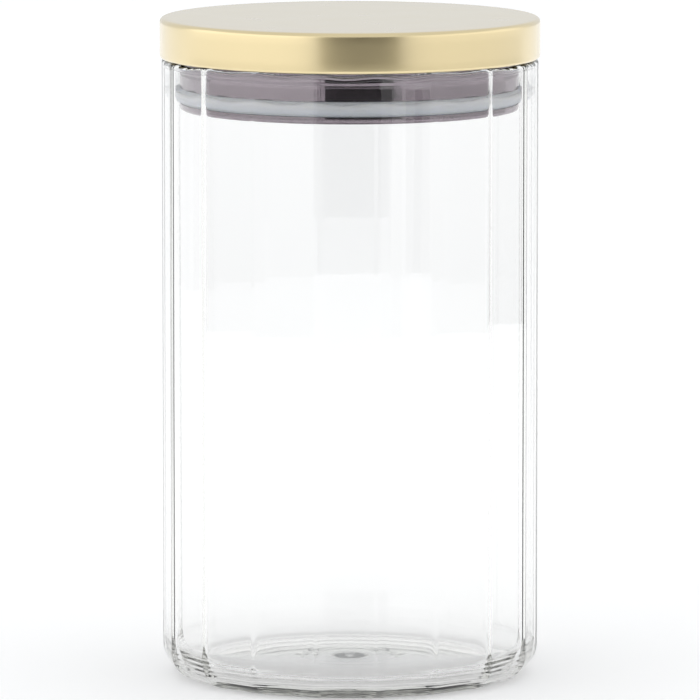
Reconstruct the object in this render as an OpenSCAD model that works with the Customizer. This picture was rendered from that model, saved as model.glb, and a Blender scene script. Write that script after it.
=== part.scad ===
// Lidded glass canister: a blown glass jar with flat panels and slim ribs, and a push-in metal lid
// that seals on a silicone ring.
// Millimetres, +Z up. The origin is the centre of the foot, on the table. A rib faces -Y.

/* [Jar] */
// Diameter of the glass over the tops of its ribs
jar_d = 102.4; // [85:0.1:130]
// Height of the glass, from the table to the top of the rim at a rib
jar_h = 168.95; // [120:0.05:240]
// Flat panels round the glass, an even number so that each has one opposite
panel_count = 18; // [12:2:24]
// How far the middle of a panel lies inside the ribs, on the outside
flute_depth = 0.65; // [0.3:0.05:0.9]
// The same on the inside, where the blown wall follows the mould less closely
inner_flute_depth = 0.4; // [0.2:0.05:0.6]
// Thickness of the glass in the middle of a panel
wall = 2.7; // [2:0.1:3.6]
// Outer radius of the heel, where the wall turns into the base
heel_r = 8; // [6:0.5:13]
// Thickness of the base over the foot
base_t = 3.8; // [3:0.1:6]
// Width of the flat ring that the jar stands on
foot_w = 4.5; // [2:0.5:8]
// Rise of the underside from the foot to its centre
punt_rise = 1.6; // [0.8:0.1:2.2]
// Rise of the floor inside, over the raised underside
floor_rise = 1.2; // [0.6:0.1:2]
// Radius of the round mould mark in the centre of the underside
mark_r = 13; // [8:0.5:18]
// Depth of the mould mark
mark_depth = 0.6; // [0.3:0.1:0.8]
// Radius of the fire-polished edges of the rim
rim_round = 1.1; // [0.6:0.1:1.3]

/* [Lid cap] */
// How far the cap stands out over the ribs
cap_overhang = 0.5; // [0.2:0.1:3]
// Height of the cap
cap_h = 11; // [9:0.5:18]
// Thickness of the cap's sheet
cap_sheet = 0.6; // [0.4:0.1:0.8]
// Radius of the cap's top edge
cap_edge_r = 1.3; // [0.9:0.1:2]
// Radius of the bend at the foot of the skirt
hem_r = 0.9; // [0.8:0.1:1.4]
// Width of the hem that is folded in under the flange of the plug
hem_w = 3.2; // [2.4:0.1:4]
// Clearance between the hem and the top of the rim
seat_gap = 0.05; // [0.02:0.01:0.2]

/* [Plug] */
// Space between the wall of the plug and the middle of a glass panel
plug_space = 2.85; // [2:0.05:4]
// How far the plug reaches below the cap
plug_depth = 13.9; // [12:0.1:20]
// Thickness of the plug's sheet
plug_sheet = 0.6; // [0.4:0.1:0.8]
// Height of the collar between the cap and the seal
collar_h = 7.8; // [6:0.1:9]
// Height of the lower collar, under the seal
toe_h = 1.9; // [1.7:0.1:2.5]
// Depth of the groove that holds the seal
groove_depth = 2.1; // [1.5:0.1:3]
// Distance of the rolled line below the cap
line_drop = 3.6; // [2.5:0.1:4.5]
// Radius of the tool that rolls the line
line_r = 0.5; // [0.3:0.1:1]
// Depth of the rolled line
line_depth = 0.25; // [0.1:0.05:0.3]
// Radius of the plug's bottom edge
toe_r = 1; // [0.7:0.1:1]

/* [Seal] */
// Running clearance between the seal and the root of its groove
seal_fit = 0.05; // [0.02:0.01:0.1]
// Clearance above and below the seal in its groove
seal_end_gap = 0.1; // [0.05:0.05:0.3]
// How far the body of the seal lies inside the wall of the plug
seal_inset = 0.1; // [0.05:0.05:0.3]
// Clearance between the lip and the glass
lip_gap = 0.1; // [0.05:0.05:0.4]
// Height of the lip's face along the glass
lip_face = 1.4; // [0.8:0.1:1.8]
// Thickness of the lip
lip_t = 1; // [0.7:0.1:1.4]

/* [Core] */
// Thickness of the core's top plate
core_plate = 2.5; // [1.5:0.1:3.5]
// Thickness of the core's rings and ribs
core_rib = 1.8; // [1.2:0.1:2.5]
// Ribs on the underside of the core
core_ribs = 12; // [6:1:18]
// Radius of the core's inner ring
core_hub_r = 16; // [10:1:24]
// Clearance round the core
core_gap = 0.1; // [0.05:0.05:0.3]

/* [Hidden] */
$fn = 96;

cut = 1; // how far a cutting shape runs past the face it opens

// Jar
rib_r = jar_d / 2;
panel_r = rib_r - flute_depth;
inner_panel_r = panel_r - wall;
inner_rib_r = inner_panel_r + inner_flute_depth;
panel_step = 360 / panel_count;
inner_heel_r = heel_r - wall * 0.5;
foot_r = panel_r - heel_r - foot_w;
floor_r = inner_panel_r - inner_heel_r;

// Lid, from the top of the rim upwards
hem_z = jar_h + seat_gap;
cap_r = rib_r + cap_overhang;
top_z = hem_z + cap_h;
flange_z = hem_z + cap_sheet;
core_z = flange_z + plug_sheet;

// Plug, from the hem downwards
plug_r = inner_panel_r - plug_space;
plug_z = hem_z - plug_depth;
groove_r = plug_r - groove_depth;
groove_top_z = hem_z - collar_h;
groove_low_z = plug_z + toe_h;
flange_r = cap_r - hem_r;

// Radius of a ball that rises by rise over a circle of radius r
function dome_r(r, rise) = (r * r + rise * rise) / (2 * rise);

// Corners of the prism whose faces are the panels, one of them facing -Y
function panel_corners(flat_r) = [for (k = [0 : panel_count - 1])
    flat_r / cos(panel_step / 2) * [cos(k * panel_step - 90), sin(k * panel_step - 90)]];

// A flat can in the XZ plane, right half only, with its own edge radius at the bottom and the top
module can_outline(r, z0, z1, low_r, high_r) {
    translate([0, z0 + low_r]) square([r, z1 - z0 - low_r - high_r]);
    translate([0, z0]) square([r - low_r, z1 - z0 - high_r]);
    translate([0, z1 - 2 * high_r]) square([r - high_r, 2 * high_r]);
    translate([r - low_r, z0 + low_r]) circle(low_r);
    translate([r - high_r, z1 - high_r]) circle(high_r);
}

// Outline of the hollow: a tub with a rounded heel, open at the top
module hollow_outline() {
    translate([0, base_t + inner_heel_r]) square([inner_rib_r, jar_h + cut - base_t - inner_heel_r]);
    translate([0, base_t]) square([inner_rib_r - inner_heel_r, 2 * inner_heel_r]);
    translate([inner_rib_r - inner_heel_r, base_t + inner_heel_r]) circle(inner_heel_r);
}

// Cuts a turned shape down to flat panels
module panelled(flat_r) {
    intersection() {
        children();
        translate([0, 0, -cut]) linear_extrude(jar_h + 3 * cut) polygon(panel_corners(flat_r));
    }
}

// What rounds the inner edge of the rim when it is cut away
module rim_inner_edge() {
    edge_r = inner_rib_r + rim_round;
    rotate_extrude() difference() {
        translate([inner_panel_r - cut, jar_h - rim_round]) square([edge_r - inner_panel_r + cut, rim_round + cut]);
        translate([edge_r, jar_h - rim_round]) circle(rim_round);
    }
}

// How far the raised underside has fallen from its centre at radius r
function dome_drop(r) = dome_r(foot_r, punt_rise) - sqrt(pow(dome_r(foot_r, punt_rise), 2) - r * r);

// The raised underside with its round mould mark
module underside() {
    punt_r = dome_r(foot_r, punt_rise);
    intersection() {
        translate([0, 0, punt_rise - punt_r]) sphere(punt_r);
        translate([0, 0, -cut]) cylinder(r = foot_r + cut, h = punt_rise + 2 * cut);
    }
    translate([0, 0, -cut]) cylinder(r = mark_r, h = punt_rise + mark_depth + cut - dome_drop(mark_r));
}

// The hollow of the jar, over a floor that is slightly raised in the middle
module hollow() {
    ball_r = dome_r(floor_r, floor_rise);
    difference() {
        panelled(inner_panel_r) rotate_extrude() hollow_outline();
        intersection() {
            translate([0, 0, base_t + floor_rise - ball_r]) sphere(ball_r);
            cylinder(r = floor_r, h = base_t + floor_rise + cut);
        }
    }
}

module glass_jar() {
    color([0.93, 0.96, 0.95, 0.35]) difference() {
        panelled(panel_r) rotate_extrude() can_outline(rib_r, 0, jar_h, heel_r, rim_round);
        hollow();
        underside();
        rim_inner_edge();
    }
}

module lid_cap() {
    color([0.86, 0.72, 0.44]) difference() {
        rotate_extrude() can_outline(cap_r, hem_z, top_z, hem_r, cap_edge_r);
        rotate_extrude() can_outline(cap_r - cap_sheet, hem_z + cap_sheet, top_z - cap_sheet,
                                     hem_r - cap_sheet, cap_edge_r - cap_sheet);
        translate([0, 0, hem_z - cut]) cylinder(r = cap_r - hem_w, h = cap_sheet + 2 * cut);
    }
}

// Moulded core that fills the cap: a plate with two rings and spokes between them
module lid_core() {
    core_r = flange_r - cap_edge_r;
    core_top = top_z - cap_sheet - core_gap;
    rib_h = core_top - core_z - core_plate / 2;
    color([0.9, 0.9, 0.88]) union() {
        translate([0, 0, core_top - core_plate]) cylinder(r = core_r, h = core_plate);
        for (ring_r = [core_r, core_hub_r]) translate([0, 0, core_z]) difference() {
            cylinder(r = ring_r, h = rib_h);
            translate([0, 0, -cut]) cylinder(r = ring_r - core_rib, h = rib_h + 2 * cut);
        }
        for (k = [0 : core_ribs - 1]) rotate([0, 0, k * 360 / core_ribs])
            translate([core_hub_r - core_rib / 2, -core_rib / 2, core_z])
                cube([core_r - core_hub_r, core_rib, rib_h]);
    }
}

// Turned shape of the plug, grown inwards by inset to give the hollow of its sheet
module plug_outline(inset) {
    r = plug_r - inset;
    low = plug_z + inset;
    toe_top = groove_low_z - inset;
    bend = min(toe_r - inset, toe_top - low);
    translate([0, low + bend]) square([r, toe_top - low - bend]);
    translate([0, low]) square([r - bend, toe_top - low]);
    intersection() {
        translate([r - bend, low + bend]) circle(bend);
        translate([r - bend, low]) square(bend);
    }
    translate([0, toe_top - inset]) square([groove_r - inset, groove_top_z - toe_top + 2 * inset]);
    translate([0, groove_top_z + inset]) square([r, core_z - groove_top_z - inset]);
}

// Drawn cup: a flange that the hem clamps, a collar, the groove for the seal and a closed bottom
module plug_cup() {
    color([0.55, 0.52, 0.54]) difference() {
        union() {
            rotate_extrude() plug_outline(0);
            translate([0, 0, flange_z]) cylinder(r = flange_r, h = plug_sheet);
        }
        rotate_extrude() plug_outline(plug_sheet);
        translate([0, 0, core_z - cut]) cylinder(r = plug_r - plug_sheet, h = 2 * cut);
        rotate_extrude() translate([plug_r + line_r - line_depth, hem_z - line_drop]) circle(line_r);
    }
}

// Silicone ring: a body that turns in the groove, and a lip that flares up and out to the glass
module seal_ring() {
    inner_r = groove_r + seal_fit;
    body_r = plug_r - seal_inset;
    lip_r = inner_panel_r - lip_gap;
    low = groove_low_z + seal_end_gap;
    high = groove_top_z - seal_end_gap;
    notch_z = (low + high) / 2;
    color([0.85, 0.88, 0.92, 0.8]) rotate_extrude() polygon([
        [inner_r, low], [body_r, low], [lip_r, high - lip_face], [lip_r, high], [lip_r - lip_t * 0.6, high],
        [body_r + lip_t * 0.5, notch_z], [body_r, notch_z], [body_r - 0.3, high], [inner_r, high]]);
}

glass_jar();
lid_cap();
lid_core();
plug_cup();
seal_ring();
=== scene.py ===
"""Lidded glass canister: a clear jar with flat panels and slim ribs, and a push-in brass lid on a silicone ring."""

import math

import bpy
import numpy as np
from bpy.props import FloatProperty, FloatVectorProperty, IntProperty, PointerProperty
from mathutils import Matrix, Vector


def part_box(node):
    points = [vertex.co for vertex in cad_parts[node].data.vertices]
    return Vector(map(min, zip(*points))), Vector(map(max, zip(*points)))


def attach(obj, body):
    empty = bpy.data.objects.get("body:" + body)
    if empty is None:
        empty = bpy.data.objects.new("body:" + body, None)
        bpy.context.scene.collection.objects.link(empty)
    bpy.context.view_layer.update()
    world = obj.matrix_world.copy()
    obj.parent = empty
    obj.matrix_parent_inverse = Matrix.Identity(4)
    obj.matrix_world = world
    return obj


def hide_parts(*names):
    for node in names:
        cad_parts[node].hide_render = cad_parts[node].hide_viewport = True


bl_info = {
    "name": "Lidded Glass Canister",
    "version": (1, 0, 0),
    "blender": (4, 5, 0),
    "location": "3D View > Sidebar > Canister",
    "description": "Builds the visible pieces of a lidded glass canister round its packed frame",
    "category": "Object",
}

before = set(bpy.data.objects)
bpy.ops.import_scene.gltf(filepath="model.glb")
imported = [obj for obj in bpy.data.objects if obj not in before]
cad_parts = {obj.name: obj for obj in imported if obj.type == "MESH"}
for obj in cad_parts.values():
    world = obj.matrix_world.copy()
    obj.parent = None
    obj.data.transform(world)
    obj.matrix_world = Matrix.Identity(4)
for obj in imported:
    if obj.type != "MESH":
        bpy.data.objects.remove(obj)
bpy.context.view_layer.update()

MM = 0.001
JAR_LOW, JAR_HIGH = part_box("glass_jar")
CAP_LOW, CAP_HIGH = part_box("lid_cap")
PLUG_LOW, PLUG_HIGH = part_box("plug_cup")
SEAL_LOW, SEAL_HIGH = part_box("seal_ring")
CORE_LOW, CORE_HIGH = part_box("lid_core")
FIRST_RIB = -math.pi / 2  # a rib faces -Y
TURN = 2 * math.pi


# Sizes and colours


def length(name, about, default, low=0.0):
    """A length in metres, given in millimetres."""
    return FloatProperty(name=name, description=about, default=default * MM, min=low, unit="LENGTH", precision=5)


def colour(name, about, default):
    return FloatVectorProperty(name=name, description=about, default=default, min=0.0, max=1.0, subtype="COLOR")


class CanisterJarSizes(bpy.types.PropertyGroup):
    panels: IntProperty(name="Panels", description="Flat panels round the glass", default=18, min=3)
    steps: IntProperty(name="Steps", description="Faces across each panel", default=24, min=6)
    flute: length("Flute depth", "How far the middle of a panel lies inside the ribs", 0.72)
    wall: length("Wall", "Thickness of the glass in the middle of a panel", 2.7)
    rib_width: FloatProperty(
        name="Rib width", description="Half the angle over which a rib is rounded outside",
        default=math.radians(0.4), subtype="ANGLE")
    inner_rib_width: FloatProperty(
        name="Inner rib width", description="Half the angle over which a rib is rounded inside",
        default=math.radians(1.1), subtype="ANGLE")
    wander: FloatProperty(
        name="Wander", description="How far the ribs of the blown glass stray from even spacing",
        default=math.radians(0.7), subtype="ANGLE")
    heel: length("Heel radius", "Outer radius of the heel", 8.0)
    foot: length("Foot width", "Width of the ring that the jar stands on", 4.5)
    base: length("Base", "Thickness of the base over the foot", 3.8)
    punt: length("Punt", "Rise of the underside from the foot to its centre", 1.6)
    floor_rise: length("Floor rise", "Rise of the floor inside", 1.2)
    mark_radius: length("Mark radius", "Radius of the mould mark under the base", 13.0)
    mark_depth: length("Mark depth", "Depth of the mould mark", 0.25)
    mark_edge: length("Mark edge", "Width of the mould mark's soft edge", 1.2)
    rim_dip: length("Rim dip", "How far the rim dips between two ribs", 0.5)
    bead: length("Rim bead", "How far the fire-polished rim swells out of the wall", 0.06)
    bead_height: length("Bead height", "Height of the swollen rim", 1.9)
    dip_reach: length("Dip reach", "Height over which the wall follows the rim's dips", 5.0)
    ripple: length("Ripple", "Height of the chill ripples round the heel, inside", 0.03)
    ripple_pitch: length("Ripple pitch", "Distance between two ripples", 1.2)
    streak: length("Streak", "Unevenness of the blown wall inside", 0.012)


class CanisterLidSizes(bpy.types.PropertyGroup):
    steps: IntProperty(name="Steps", description="Faces round the lid", default=288, min=24)
    sheet: length("Sheet", "Thickness of the metal", 0.6)
    edge: length("Top edge", "Radius of the cap's top edge", 1.3)
    hem: length("Hem radius", "Radius of the bend at the foot of the skirt", 0.9)
    hem_width: length("Hem width", "Width of the hem folded in under the plug", 3.2)
    plug_radius: length("Plug radius", "Radius of the plug's wall", 45.0)
    toe: length("Toe radius", "Radius of the plug's bottom edge", 1.0)
    toe_height: length("Toe height", "Height of the plug's lower collar", 1.9)
    groove: length("Groove", "Depth of the seal's groove", 2.1)
    line_drop: length("Line drop", "Distance of the rolled line below the cap", 3.6)
    line_depth: length("Line depth", "Depth of the rolled line", 0.25)


class CanisterSealSizes(bpy.types.PropertyGroup):
    fit: length("Fit", "Running clearance to the root of the groove", 0.05)
    inset: length("Inset", "How far the seal's body lies inside the plug's wall", 0.1)
    lip: length("Lip", "Thickness of the lip", 1.0)
    wave: length("Wave", "How much lower the lip is pressed in the middle of a panel", 0.8)
    gap: length("Gap", "Distance of the lip from the glass", 0.05)


class CanisterColours(bpy.types.PropertyGroup):
    brass: colour("Brass", "Lacquered satin brass", (0.88, 0.73, 0.41))
    plug: colour("Plug", "Dark polished sheet of the plug", (0.28, 0.24, 0.27))
    silicone: colour("Silicone", "Milky silicone", (0.80, 0.84, 0.91))
    # Painted highlight: the lighter colour that the top of the seal is painted with.
    silicone_top_highlight: colour("Silicone edge", "Painted highlight on the top of the silicone lip", (0.90, 0.90, 0.93))
    core: colour("Core", "Moulded core inside the cap", (0.72, 0.72, 0.69))
    floor: colour("Floor", "Pale floor", (0.9, 0.9, 0.9))


class CanisterStageSizes(bpy.types.PropertyGroup):
    azimuth: FloatProperty(
        name="Camera azimuth", description="Turn of the camera round the jar", default=math.radians(-8.5),
        subtype="ANGLE")
    distance: length("Camera distance", "Distance of the camera from the jar's axis", 2178.0)
    height: length("Camera height", "Height of the camera over the floor", 370.0)
    aim: length("Aim height", "Height of the point that the camera looks at", 88.8)
    lens: FloatProperty(name="Lens", description="Focal length in millimetres", default=414.0, min=10.0)
    world: FloatProperty(name="World", description="Brightness of the room", default=0.78, min=0.0)
    glow: FloatProperty(name="Floor glow", description="Light that the floor gives by itself", default=0.32, min=0.0)
    left: FloatProperty(name="Left light", description="Brightness of the left screen", default=1.3, min=0.0)
    right: FloatProperty(name="Right light", description="Brightness of the right screen", default=1.1, min=0.0)


# Shapes


def use(scene, group):
    return getattr(scene, "canister_" + group)


def deselect():
    if bpy.context.object and bpy.context.object.mode != "OBJECT":
        bpy.ops.object.mode_set(mode="OBJECT")
    bpy.ops.object.select_all(action="DESELECT")


def arc(centre, radius, start, end, steps):
    """Points of an arc in the profile's plane, its two ends included, with angles in degrees."""
    angles = [math.radians(start + (end - start) * i / steps) for i in range(steps + 1)]
    return [(centre[0] + radius * math.cos(a), centre[1] + radius * math.sin(a)) for a in angles]


def turned(name, profile, steps):
    """Spins a profile of (radius, height) points round Z into a smooth shell.

    Each vertex keeps its point's number in the attribute place.
    """
    deselect()
    bpy.ops.mesh.primitive_plane_add(size=0.01, location=(0, 0, 0))
    piece = bpy.context.object
    piece.name = piece.data.name = name
    bpy.ops.object.mode_set(mode="EDIT")
    bpy.ops.mesh.select_all(action="SELECT")
    bpy.ops.mesh.merge(type="CENTER")
    bpy.ops.transform.translate(value=(profile[0][0], 0, profile[0][1]))
    for (r0, z0), (r1, z1) in zip(profile, profile[1:]):
        bpy.ops.mesh.extrude_region_move(TRANSFORM_OT_translate={"value": (r1 - r0, 0, z1 - z0)})
    bpy.ops.object.mode_set(mode="OBJECT")
    place = piece.data.attributes.new("place", "FLOAT", "POINT")
    place.data.foreach_set("value", np.arange(len(piece.data.vertices), dtype=np.float32))
    bpy.ops.object.mode_set(mode="EDIT")
    bpy.ops.mesh.select_all(action="SELECT")
    bpy.ops.mesh.spin(steps=steps, angle=TURN, center=(0, 0, 0), axis=(0, 0, 1))
    bpy.ops.mesh.select_all(action="SELECT")
    bpy.ops.mesh.remove_doubles(threshold=1e-6)
    bpy.ops.mesh.normals_make_consistent(inside=False)
    bpy.ops.object.mode_set(mode="OBJECT")
    bpy.ops.object.shade_smooth()
    return piece


def read(piece):
    """Radius, angle and height of each vertex, and its place along the profile."""
    count = len(piece.data.vertices)
    spot = np.empty(count * 3)
    piece.data.vertices.foreach_get("co", spot)
    spot = spot.reshape(-1, 3)
    place = np.empty(count, dtype=np.float32)
    piece.data.attributes["place"].data.foreach_get("value", place)
    return np.hypot(spot[:, 0], spot[:, 1]), np.arctan2(spot[:, 1], spot[:, 0]), spot[:, 2], place.round().astype(int)


def write(piece, radius, angle, height):
    spot = np.column_stack((radius * np.cos(angle), radius * np.sin(angle), height))
    piece.data.vertices.foreach_set("co", spot.ravel())
    piece.data.attributes.remove(piece.data.attributes["place"])
    piece.data.update()


def from_rib(angle, panels):
    """Angle from the nearest rib, in shares of half a panel from -1 to 1."""
    step = TURN / panels
    turn = (angle - FIRST_RIB) / step
    return (turn - np.round(turn)) * 2


def polygon_radius(share_of_half, flat, panels, rounding):
    """Radius of a polygon with rounded corners, where flat is the distance to its sides."""
    half = math.pi / panels
    soft = np.sqrt((share_of_half * half) ** 2 + rounding**2)
    soft = soft * half / math.sqrt(half**2 + rounding**2)
    return flat / np.cos(half - soft)


def stray(angle, size):
    """Small uneven turn of the ribs, which comes back to itself round the jar."""
    waves = ((2, 0.5, 0.4), (3, 0.45, 2.1), (5, 0.4, 4.4), (7, 0.25, 1.2))
    return size * sum(part * np.sin(count * angle + start) for count, part, start in waves)


def finish_piece(piece, body, slot, material, *replaced):
    piece.data.materials.clear()
    piece.data.materials.append(material)
    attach(piece, body)
    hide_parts(*replaced)


# Materials


class Wire:
    """A value on its way through a material, so that its maths is written as sums."""

    def __init__(self, finish, socket):
        self.finish = finish
        self.socket = socket

    def _math(self, operation, first, second):
        return self.finish.node("ShaderNodeMath", {"operation": operation}, {0: first, 1: second})

    def __add__(self, other):
        return self._math("ADD", self, other)

    def __mul__(self, other):
        return self._math("MULTIPLY", self, other)

    __radd__ = __add__
    __rmul__ = __mul__


class Finish:
    """A material with one Principled shader and the nodes that feed it."""

    def __init__(self, name, **fixed):
        self.material = bpy.data.materials.new(name)
        self.material.use_nodes = True
        self.tree = self.material.node_tree
        self.shader = self.tree.nodes["Principled BSDF"]
        for socket, value in fixed.items():
            self.shader.inputs[socket.replace("_", " ").title().replace("Ior", "IOR")].default_value = value

    def node(self, kind, settings=None, inputs=None, output=0):
        made = self.tree.nodes.new(kind)
        for key, value in (settings or {}).items():
            setattr(made, key, value)
        for key, value in (inputs or {}).items():
            self.feed(made.inputs[key], value)
        return Wire(self, made.outputs[output])

    def feed(self, socket, value):
        if isinstance(value, Wire):
            self.tree.links.new(value.socket, socket)
        else:
            socket.default_value = value

    def drive(self, **values):
        for socket, value in values.items():
            self.feed(self.shader.inputs[socket.replace("_", " ").title()], value)

    def place(self, scale=(1, 1, 1), turn=(0, 0, 0), output="Object"):
        spot = self.node("ShaderNodeTexCoord", output=output)
        return self.node("ShaderNodeMapping", inputs={"Vector": spot, "Scale": scale, "Rotation": turn})

    def noise(self, vector, scale, detail=2.0, rough=0.5):
        inputs = {"Vector": vector, "Scale": scale, "Detail": detail, "Roughness": rough}
        return self.node("ShaderNodeTexNoise", {"normalize": True}, inputs)

    def spread(self, value, low, high, to_low=0.0, to_high=1.0):
        """The value's stretch from low to high, as one from to_low to to_high."""
        inputs = {"Value": value, "From Min": low, "From Max": high, "To Min": to_low, "To Max": to_high}
        return self.node("ShaderNodeMapRange", {"clamp": True}, inputs)

    def blend(self, factor, first, second):
        return self.node("ShaderNodeMix", {"data_type": "RGBA"}, {0: factor, 6: first, 7: second}, output=2)

    def bump(self, height, strength, distance):
        inputs = {"Height": height, "Strength": strength, "Distance": distance}
        return self.node("ShaderNodeBump", inputs=inputs)


def rgba(tint, by=1.0):
    return tuple(min(c * by, 1.0) for c in tint) + (1.0,)


def clear_glass():
    glass = Finish("clear_glass", base_color=(1, 1, 1, 1), roughness=0.0, transmission_weight=1.0, ior=1.52)
    waves = glass.noise(glass.place((30, 30, 6)), 1.0, 1.0)
    glass.drive(normal=glass.bump(waves, 0.03, 0.0006))
    depth = glass.node(
        "ShaderNodeVolumeAbsorption", inputs={"Color": (0.74, 0.75, 0.64, 1.0), "Density": 8.0})
    glass.feed(glass.tree.nodes["Material Output"].inputs["Volume"], depth)
    return glass.material


def satin_brass(tint):
    brass = Finish("satin_brass", metallic=1.0, coat_weight=1.0, coat_roughness=0.16, coat_ior=1.7)
    slant = math.radians(58)
    strokes = brass.noise(brass.place((2600, 110, 1), (0, 0, slant), "UV"), 1.0, 3.0, 0.65)
    haze = brass.noise(brass.place((90, 90, 90)), 1.0, 3.0)
    drive = brass.spread(strokes, 0.3, 0.7)
    brass.drive(
        base_color=brass.blend(drive, rgba(tint, 0.93), rgba(tint, 1.04)),
        roughness=brass.spread(strokes + haze * 0.6, 0.5, 1.1, 0.25, 0.33),
        normal=brass.bump(strokes, 0.12, 0.00004))
    return brass.material


def dark_sheet(tint):
    sheet = Finish("dark_plug_sheet", metallic=1.0)
    haze = sheet.noise(sheet.place((60, 60, 60)), 1.0, 3.0)
    drawn = sheet.noise(sheet.place((8, 8, 900)), 1.0, 2.0)
    sheet.drive(
        base_color=sheet.blend(haze, rgba(tint, 0.9), rgba(tint, 1.1)),
        roughness=sheet.spread(haze, 0.3, 0.7, 0.06, 0.1),
        normal=sheet.bump(drawn, 0.04, 0.00003))
    return sheet.material


def milky_silicone_painted_glow(tint, edge):
    # Painted glow: a weak bluish-white emission makes the silicone give light of its own, to brighten it.
    silicone = Finish(
        "milky_silicone_painted_glow", subsurface_weight=0.35, subsurface_radius=(0.002, 0.002, 0.0024), subsurface_scale=0.6,
        ior=1.41, emission_color=(0.88, 0.94, 1.0, 1.0), emission_strength=0.1)
    height = silicone.node("ShaderNodeSeparateXYZ", inputs={0: silicone.node("ShaderNodeTexCoord", output="Object")},
                           output="Z")
    # Painted highlight: the base colour grows lighter from near the seal's foot to its top, towards the edge colour.
    painted_top_highlight = silicone.spread(height, SEAL_LOW.z + 0.0008, SEAL_HIGH.z - 0.0004)
    grain = silicone.noise(silicone.place((900, 900, 900)), 1.0, 2.0)
    silicone.drive(
        base_color=silicone.blend(painted_top_highlight, rgba(tint), rgba(edge)),
        roughness=silicone.spread(grain, 0.3, 0.7, 0.34, 0.44),
        normal=silicone.bump(grain, 0.1, 0.00004))
    return silicone.material


def moulded_plastic(tint):
    plastic = Finish("core_plastic")
    grain = plastic.noise(plastic.place((700, 700, 700)), 1.0, 3.0)
    plastic.drive(
        base_color=plastic.blend(grain, rgba(tint, 0.95), rgba(tint, 1.03)),
        roughness=plastic.spread(grain, 0.3, 0.7, 0.45, 0.55),
        normal=plastic.bump(grain, 0.15, 0.00006))
    return plastic.material


# Pieces


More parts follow.
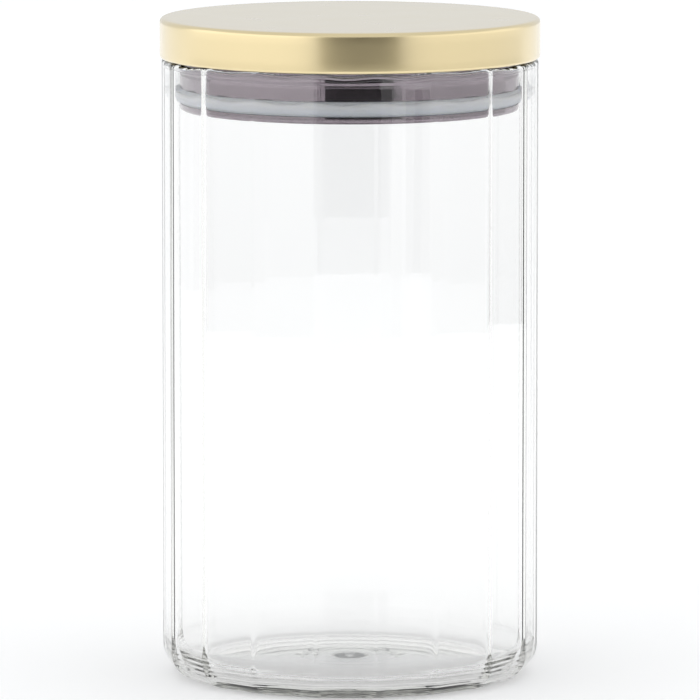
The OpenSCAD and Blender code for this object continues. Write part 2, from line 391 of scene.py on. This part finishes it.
class CANISTER_OT_glass_jar(bpy.types.Operator):
    """Blows the jar: panels, ribs, rim, heel, punt and mould mark"""

    bl_idname = "canister.glass_jar"
    bl_label = "Glass jar"

    def execute(self, context):
        s = use(context.scene, "jar")
        rib_r = max(-JAR_LOW.y, JAR_HIGH.y)
        top = JAR_HIGH.z
        half = math.pi / s.panels
        flat = rib_r - s.flute
        inner_flat = flat - s.wall
        inner_r = float(polygon_radius(np.float64(0), inner_flat, s.panels, s.inner_rib_width))
        inner_heel = s.heel - s.wall / 2
        foot_in = flat - s.heel - s.foot
        foot_out = rib_r - s.heel

        points = []  # radius, height, share of the outer panels, share of the inner panels

        def add(pairs, outer=0.0, inner=0.0):
            points.extend((r, z, outer, inner) for r, z in pairs)

        def under(r):
            mark = s.mark_depth * (1 - smooth((r - s.mark_radius + s.mark_edge) / s.mark_edge))
            return s.punt * (1 - (r / foot_in) ** 2) + mark

        def smooth(x):
            x = min(max(x, 0.0), 1.0)
            return x * x * (3 - 2 * x)

        def rippled(centre, radius, start, end, steps, height):
            """An arc with chill ripples, which fade out towards its ends."""
            points = []
            for i, (r, z) in enumerate(arc(centre, radius, start, end, steps)):
                along = radius * math.pi / 2 * i / steps
                lift = height * math.sin(math.pi * i / steps) ** 2 * math.sin(TURN * along / s.ripple_pitch)
                out = Vector((r - centre[0], z - centre[1])).normalized() * lift
                points.append((r + out.x, z + out.y))
            return points

        def wall_rows(start, end):
            """Heights along the straight wall, with a row close to each end that keeps its shading straight."""
            edge = math.copysign(0.0003, end - start)
            even = [start + (end - start) * i / 18 for i in range(1, 18)]
            return [start + edge, *even, end - edge, end]

        mark_in = s.mark_radius - s.mark_edge
        spots = [mark_in * i / 8 for i in range(9)]
        spots += [mark_in + s.mark_edge * i / 6 for i in range(1, 7)]
        spots += [s.mark_radius + (foot_in - s.mark_radius) * i / 10 for i in range(1, 10)]
        add([(r, under(r)) for r in spots])
        add([(foot_in, 0.00003)], outer=0.3)
        add([((foot_in + foot_out) / 2, 0.0)], outer=0.6)
        heel_steps = 54
        centre = (foot_out, s.heel)
        for i, (r, z) in enumerate(rippled(centre, s.heel, -90, 0, heel_steps, s.ripple / 3)):
            add([(r, z)], outer=0.8 + 0.2 * i / heel_steps)
        bead_z = top - s.bead_height
        add([(rib_r, z) for z in wall_rows(s.heel, bead_z)], outer=1.0)
        outer_rim = rib_r + s.bead * 0.6
        inner_rim = inner_r - s.bead * 0.4
        rim_r = (outer_rim - inner_rim) / 2
        rim_centre = ((outer_rim + inner_rim) / 2, top - rim_r)
        add([(rib_r + (outer_rim - rib_r) * smooth(i / 5), bead_z + (rim_centre[1] - bead_z) * i / 5)
             for i in range(1, 5)], outer=1.0)
        for i, (r, z) in enumerate(arc(rim_centre, rim_r, 0, 180, 14)):
            inner = i / 14
            add([(r, z)], outer=1 - inner, inner=inner)
        add([(inner_rim + (inner_r - inner_rim) * smooth(i / 5), rim_centre[1] + (bead_z - rim_centre[1]) * i / 5)
             for i in range(1, 6)], inner=1.0)
        low = s.base + inner_heel
        add([(inner_r, z) for z in wall_rows(bead_z, low)[:-1]], inner=1.0)
        inner_centre = inner_r - inner_heel
        for i, (r, z) in enumerate(rippled((inner_centre, low), inner_heel, 0, -90, heel_steps, s.ripple)):
            add([(r, z)], inner=1 - 0.6 * smooth(i / heel_steps))
        spots = [inner_centre * (1 - i / 16) for i in range(1, 17)]
        add([(r, s.base + s.floor_rise * (1 - (r / inner_centre) ** 2)) for r in spots])

        jar = turned("glass_jar_blown", [(r, z) for r, z, *_ in points], s.panels * s.steps)
        facts = np.array(points)
        _, angle, _, place = read(jar)
        base_r, base_z, outer, inner = facts[place].T
        # The even spin is drawn together at the ribs, where the glass bends most
        t = from_rib(angle, s.panels)
        middle = angle - t * half
        t = np.sign(t) * t**2
        angle = middle + t * half
        out = polygon_radius(t, flat, s.panels, s.rib_width) / rib_r
        into = polygon_radius(t, inner_flat, s.panels, s.inner_rib_width) / inner_r
        waves = np.sin(11 * angle + 0.7) + np.sin(17 * angle + base_z * 9) + np.sin(29 * angle + 2.2 - base_z * 14)
        radius = base_r * (1 - outer * (1 - out) - inner * (1 - into)) + s.streak * inner * waves / 2
        dip = ((base_z - bead_z) / s.dip_reach + 1).clip(0, 1)
        height = base_z - s.rim_dip * dip * (1 - np.cos(math.pi * t)) / 2
        write(jar, radius, angle + stray(angle, s.wander), height)
        finish_piece(jar, "jar", "glass", clear_glass(), "glass_jar")
        return {"FINISHED"}


def uv_by_turn(piece, radius, profile):
    """Gives a turned piece UVs in metres: the distance round it at the radius, and the distance along its profile."""
    mesh = piece.data
    steps = [math.dist(a, b) for a, b in zip(profile, profile[1:])]
    along = np.concatenate(([0.0], np.cumsum(steps)))
    _, angle, _, place = read(piece)
    corner = np.empty(len(mesh.loops), dtype=np.int64)
    mesh.loops.foreach_get("vertex_index", corner)
    face = np.repeat(np.arange(len(mesh.polygons)), [p.loop_total for p in mesh.polygons])
    turn = angle[corner]
    low = np.full(len(mesh.polygons), np.inf)
    np.minimum.at(low, face, turn)
    turn = np.where(turn - low[face] > math.pi, turn - TURN, turn)  # a face across the seam stays small
    layer = mesh.uv_layers.new(name="round_and_along")
    layer.data.foreach_set("uv", np.column_stack((turn * radius, along[place[corner]])).ravel())
    mesh.attributes.remove(mesh.attributes["place"])


class CANISTER_OT_lid_cap(bpy.types.Operator):
    """Presses the brass cap with its rounded top edge and folded hem"""

    bl_idname = "canister.lid_cap"
    bl_label = "Lid cap"

    def execute(self, context):
        s = use(context.scene, "lid")
        r, low, high = CAP_HIGH.x, CAP_LOW.z, CAP_HIGH.z
        t = s.sheet
        profile = [(0.0, high)]
        profile += [((r - s.edge) * i / 8, high) for i in range(1, 8)]
        profile += arc((r - s.edge, high - s.edge), s.edge, 90, 0, 12)
        profile += [(r, high - s.edge - (high - low - s.edge - s.hem) * i / 4) for i in range(1, 4)]
        profile += arc((r - s.hem, low + s.hem), s.hem, 0, -90, 10)
        profile += [(r - s.hem_width, low), (r - s.hem_width, low + t)]
        profile += arc((r - s.hem, low + s.hem), s.hem - t, -90, 0, 4)
        profile += arc((r - s.edge, high - s.edge), s.edge - t, 0, 90, 4)
        profile += [(0.0, high - t)]
        cap = turned("lid_cap_pressed", profile, s.steps)
        uv_by_turn(cap, r, profile)
        bpy.ops.object.shade_smooth_by_angle(angle=math.radians(40))
        finish_piece(cap, "lid", "brushed_brass", satin_brass(use(context.scene, "colours").brass), "lid_cap")
        return {"FINISHED"}


class CANISTER_OT_plug_cup(bpy.types.Operator):
    """Draws the plug under the cap, with its flange, rolled line, seal groove and rounded toe"""

    bl_idname = "canister.plug_cup"
    bl_label = "Plug cup"

    def execute(self, context):
        s = use(context.scene, "lid")
        r, low, high, flange = s.plug_radius, PLUG_LOW.z, PLUG_HIGH.z, PLUG_HIGH.x
        t = s.sheet
        groove = r - s.groove
        groove_low, groove_high = low + s.toe_height, SEAL_HIGH.z + 0.0001
        line = CAP_LOW.z - s.line_drop
        profile = [(0.0, low)]
        profile += [((r - s.toe) * i / 6, low) for i in range(1, 6)]
        profile += arc((r - s.toe, low + s.toe), s.toe, -90, 0, 8)
        profile += [(r, groove_low), (groove, groove_low), (groove, groove_high), (r, groove_high)]
        profile += [(r, line - 0.0008)]
        profile += [(r - s.line_depth * (1 - abs(i) / 3) ** 0.8, line + i * 0.0002) for i in range(-3, 4)]
        profile += [(r, line + 0.0008), (r, high - t), (flange, high - t), (flange, high), (r - t, high)]
        profile += [(r - t, groove_high + t), (groove - t, groove_high + t), (groove - t, groove_low - t)]
        profile += [(r - 2 * t, groove_low - t), (r - 2 * t, low + t), (0.0, low + t)]
        plug = turned("plug_cup_drawn", profile, s.steps)
        plug.data.attributes.remove(plug.data.attributes["place"])
        bpy.ops.object.shade_smooth_by_angle(angle=math.radians(30))
        finish_piece(plug, "lid", "plug_metal", dark_sheet(use(context.scene, "colours").plug), "plug_cup")
        return {"FINISHED"}


class CANISTER_OT_seal_ring(bpy.types.Operator):
    """Moulds the silicone ring, whose lip is pressed lower by the middle of each panel"""

    bl_idname = "canister.seal_ring"
    bl_label = "Seal ring"

    def execute(self, context):
        s, jar, lid = (use(context.scene, name) for name in ("seal", "jar", "lid"))
        low, high = SEAL_LOW.z, SEAL_HIGH.z
        root = lid.plug_radius - lid.groove + s.fit
        body = lid.plug_radius - s.inset
        flat = max(-JAR_LOW.y, JAR_HIGH.y) - jar.flute - jar.wall
        lip = flat - s.gap
        face = (high - low) * 0.35
        middle = (low + high) / 2
        profile = [(root, low), (body - 0.0003, low), (body, low + 0.0003)]
        first = len(profile)
        profile += [(body + (lip - body) * (i / 8) ** 0.5, low + 0.0003 + (high - face - low) * i / 8)
                    for i in range(1, 9)]
        profile += [(lip, high - 0.0003), (lip - 0.0002, high), (lip - 0.0006, high)]
        last = len(profile)
        profile += [(body + 0.0005, middle + 0.0002), (body, middle), (body - 0.0003, high), (root, high), (root, low)]
        seal = turned("seal_ring_moulded", profile, jar.panels * 16)
        radius, angle, height, place = read(seal)
        t = from_rib(angle, jar.panels)
        on_lip = np.where((place >= first) & (place < last), (radius - body) / (lip - body), 0.0).clip(0, 1)
        grow = polygon_radius(t, flat, jar.panels, jar.inner_rib_width) - flat
        pressed = (1 - np.cos(math.pi * t)) / 2
        angle = angle + stray(angle, jar.wander) * on_lip
        write(seal, radius + on_lip * grow, angle, height - on_lip**2 * s.wave * pressed)
        bpy.ops.object.shade_smooth_by_angle(angle=math.radians(45))
        tones = use(context.scene, "colours")
        finish_piece(seal, "seal", "silicone", milky_silicone_painted_glow(tones.silicone, tones.silicone_top_highlight), "seal_ring")
        return {"FINISHED"}


class CANISTER_OT_lid_core(bpy.types.Operator):
    """Gives the moulded core inside the cap its finish"""

    bl_idname = "canister.lid_core"
    bl_label = "Lid core"

    def execute(self, context):
        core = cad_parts["lid_core"]
        core.material_slots[0].material = moulded_plastic(use(context.scene, "colours").core)
        return {"FINISHED"}


# Stage


def around(azimuth, distance, height):
    """A point round the jar: azimuth 0 lies towards -Y, and a positive one towards +X."""
    return Vector((math.sin(azimuth) * distance, -math.cos(azimuth) * distance, height))


def matt(name, tint):
    return Finish(name, base_color=rgba(tint), roughness=0.8).material


def light_cloth(name, strength):
    """White cloth lit from behind, dimmer along its foot."""
    cloth = Finish(name, base_color=(0, 0, 0, 1), roughness=1.0, emission_strength=strength)
    spot = cloth.node("ShaderNodeTexCoord", output="Object")
    height = cloth.node("ShaderNodeSeparateXYZ", inputs={0: spot}, output="Z")
    cloth.drive(emission_color=cloth.blend(cloth.spread(height, 0.0, 0.16), (0.4, 0.4, 0.4, 1), (1, 1, 1, 1)))
    return cloth.material


def screen(name, start, end, near, far, low, high, material):
    """A curved screen from one azimuth to another, leaning back, which the camera doesn't see directly."""
    deselect()
    bpy.ops.mesh.primitive_plane_add(size=1.0, location=(0, 0, 0))
    sheet = bpy.context.object
    sheet.name = name
    bpy.ops.object.mode_set(mode="EDIT")
    bpy.ops.mesh.select_all(action="SELECT")
    bpy.ops.mesh.subdivide(number_cuts=15)
    bpy.ops.object.mode_set(mode="OBJECT")
    for vertex in sheet.data.vertices:
        turn = start + (end - start) * (vertex.co.x + 0.5)
        up = vertex.co.y + 0.5
        vertex.co = around(turn, near + (far - near) * up, low + (high - low) * up)
    sheet.data.materials.append(material)
    sheet.visible_camera = False
    sheet.visible_shadow = False
    return sheet


def pale_floor(tint, glow):
    """One even pale finish all over the floor."""
    white = (1, 1, 1, 1)
    return Finish(
        "pale_floor", base_color=rgba(tint), roughness=0.8, emission_color=white, emission_strength=glow).material


class CANISTER_OT_stage(bpy.types.Operator):
    """Sets the pale floor, the soft lights, the dark gap between them and the camera"""

    bl_idname = "canister.stage"
    bl_label = "Stage"

    def execute(self, context):
        scene = context.scene
        s = use(scene, "stage")
        deselect()
        bpy.ops.mesh.primitive_circle_add(vertices=96, radius=6.0, fill_type="NGON", location=(0, 0, 0))
        floor = bpy.context.object
        floor.name = "floor"
        floor.data.materials.append(pale_floor(use(scene, "colours").floor, s.glow))

        dark = matt("dark_gap", (0.06, 0.06, 0.06))
        start, end, high_end = (s.azimuth + math.radians(turn) for turn in (-18, 35, 29))
        screen("dark_gap_low", start, end, 1.0, 1.0, 0.002, 0.073, dark)
        screen("dark_gap_high", start, high_end, 1.0, 1.0, 0.073, 0.5, dark)
        left, right = (light_cloth("soft_" + side, getattr(s, side)) for side in ("left", "right"))
        for name, first, last, cloth in (("soft_left", -112, -19, left), ("soft_right", 35, 125, right)):
            start, end = (s.azimuth + math.radians(turn) for turn in (first, last))
            screen(name, start, end, 0.8, 1.5, 0.002, 1.1, cloth)

        world = bpy.data.worlds.new("room")
        scene.world = world
        world.use_nodes = True
        world.node_tree.nodes["Background"].inputs["Color"].default_value = (0.97, 0.985, 1.0, 1)
        world.node_tree.nodes["Background"].inputs["Strength"].default_value = s.world

        bpy.ops.object.camera_add(location=around(s.azimuth, s.distance, s.height))
        camera = bpy.context.object
        camera.data.lens = s.lens
        camera.data.clip_end = 50.0
        camera.rotation_euler = (Vector((0, 0, s.aim)) - camera.location).to_track_quat("-Z", "Y").to_euler()
        scene.camera = camera
        scene.view_settings.view_transform = "Standard"
        scene.cycles.use_denoising = True
        scene.cycles.max_bounces = 80
        scene.cycles.transmission_bounces = 80
        scene.cycles.glossy_bounces = 12
        scene.cycles.caustics_refractive = True
        scene.cycles.caustics_reflective = False
        return {"FINISHED"}


class CANISTER_PT_pieces(bpy.types.Panel):
    bl_label = "Canister"
    bl_idname = "CANISTER_PT_pieces"
    bl_space_type = "VIEW_3D"
    bl_region_type = "UI"
    bl_category = "Canister"

    def draw(self, context):
        for group in GROUPS:
            sizes = use(context.scene, group)
            box = self.layout.box()
            for name in sizes.__annotations__:
                box.prop(sizes, name)
        for operator in OPERATORS:
            self.layout.operator(operator.bl_idname)


GROUPS = {
    "jar": CanisterJarSizes,
    "lid": CanisterLidSizes,
    "seal": CanisterSealSizes,
    "colours": CanisterColours,
    "stage": CanisterStageSizes,
}
OPERATORS = (
    CANISTER_OT_glass_jar,
    CANISTER_OT_lid_cap,
    CANISTER_OT_plug_cup,
    CANISTER_OT_seal_ring,
    CANISTER_OT_lid_core,
    CANISTER_OT_stage,
)
CLASSES = (*GROUPS.values(), *OPERATORS, CANISTER_PT_pieces)


def register():
    for cls in CLASSES:
        bpy.utils.register_class(cls)
    for name, cls in GROUPS.items():
        setattr(bpy.types.Scene, "canister_" + name, PointerProperty(type=cls))


def unregister():
    for name in GROUPS:
        delattr(bpy.types.Scene, "canister_" + name)
    for cls in reversed(CLASSES):
        bpy.utils.unregister_class(cls)


def main():
    register()
    for operator in OPERATORS:
        package, name = operator.bl_idname.split(".")
        getattr(getattr(bpy.ops, package), name)()


if __name__ == "__main__":
    main()
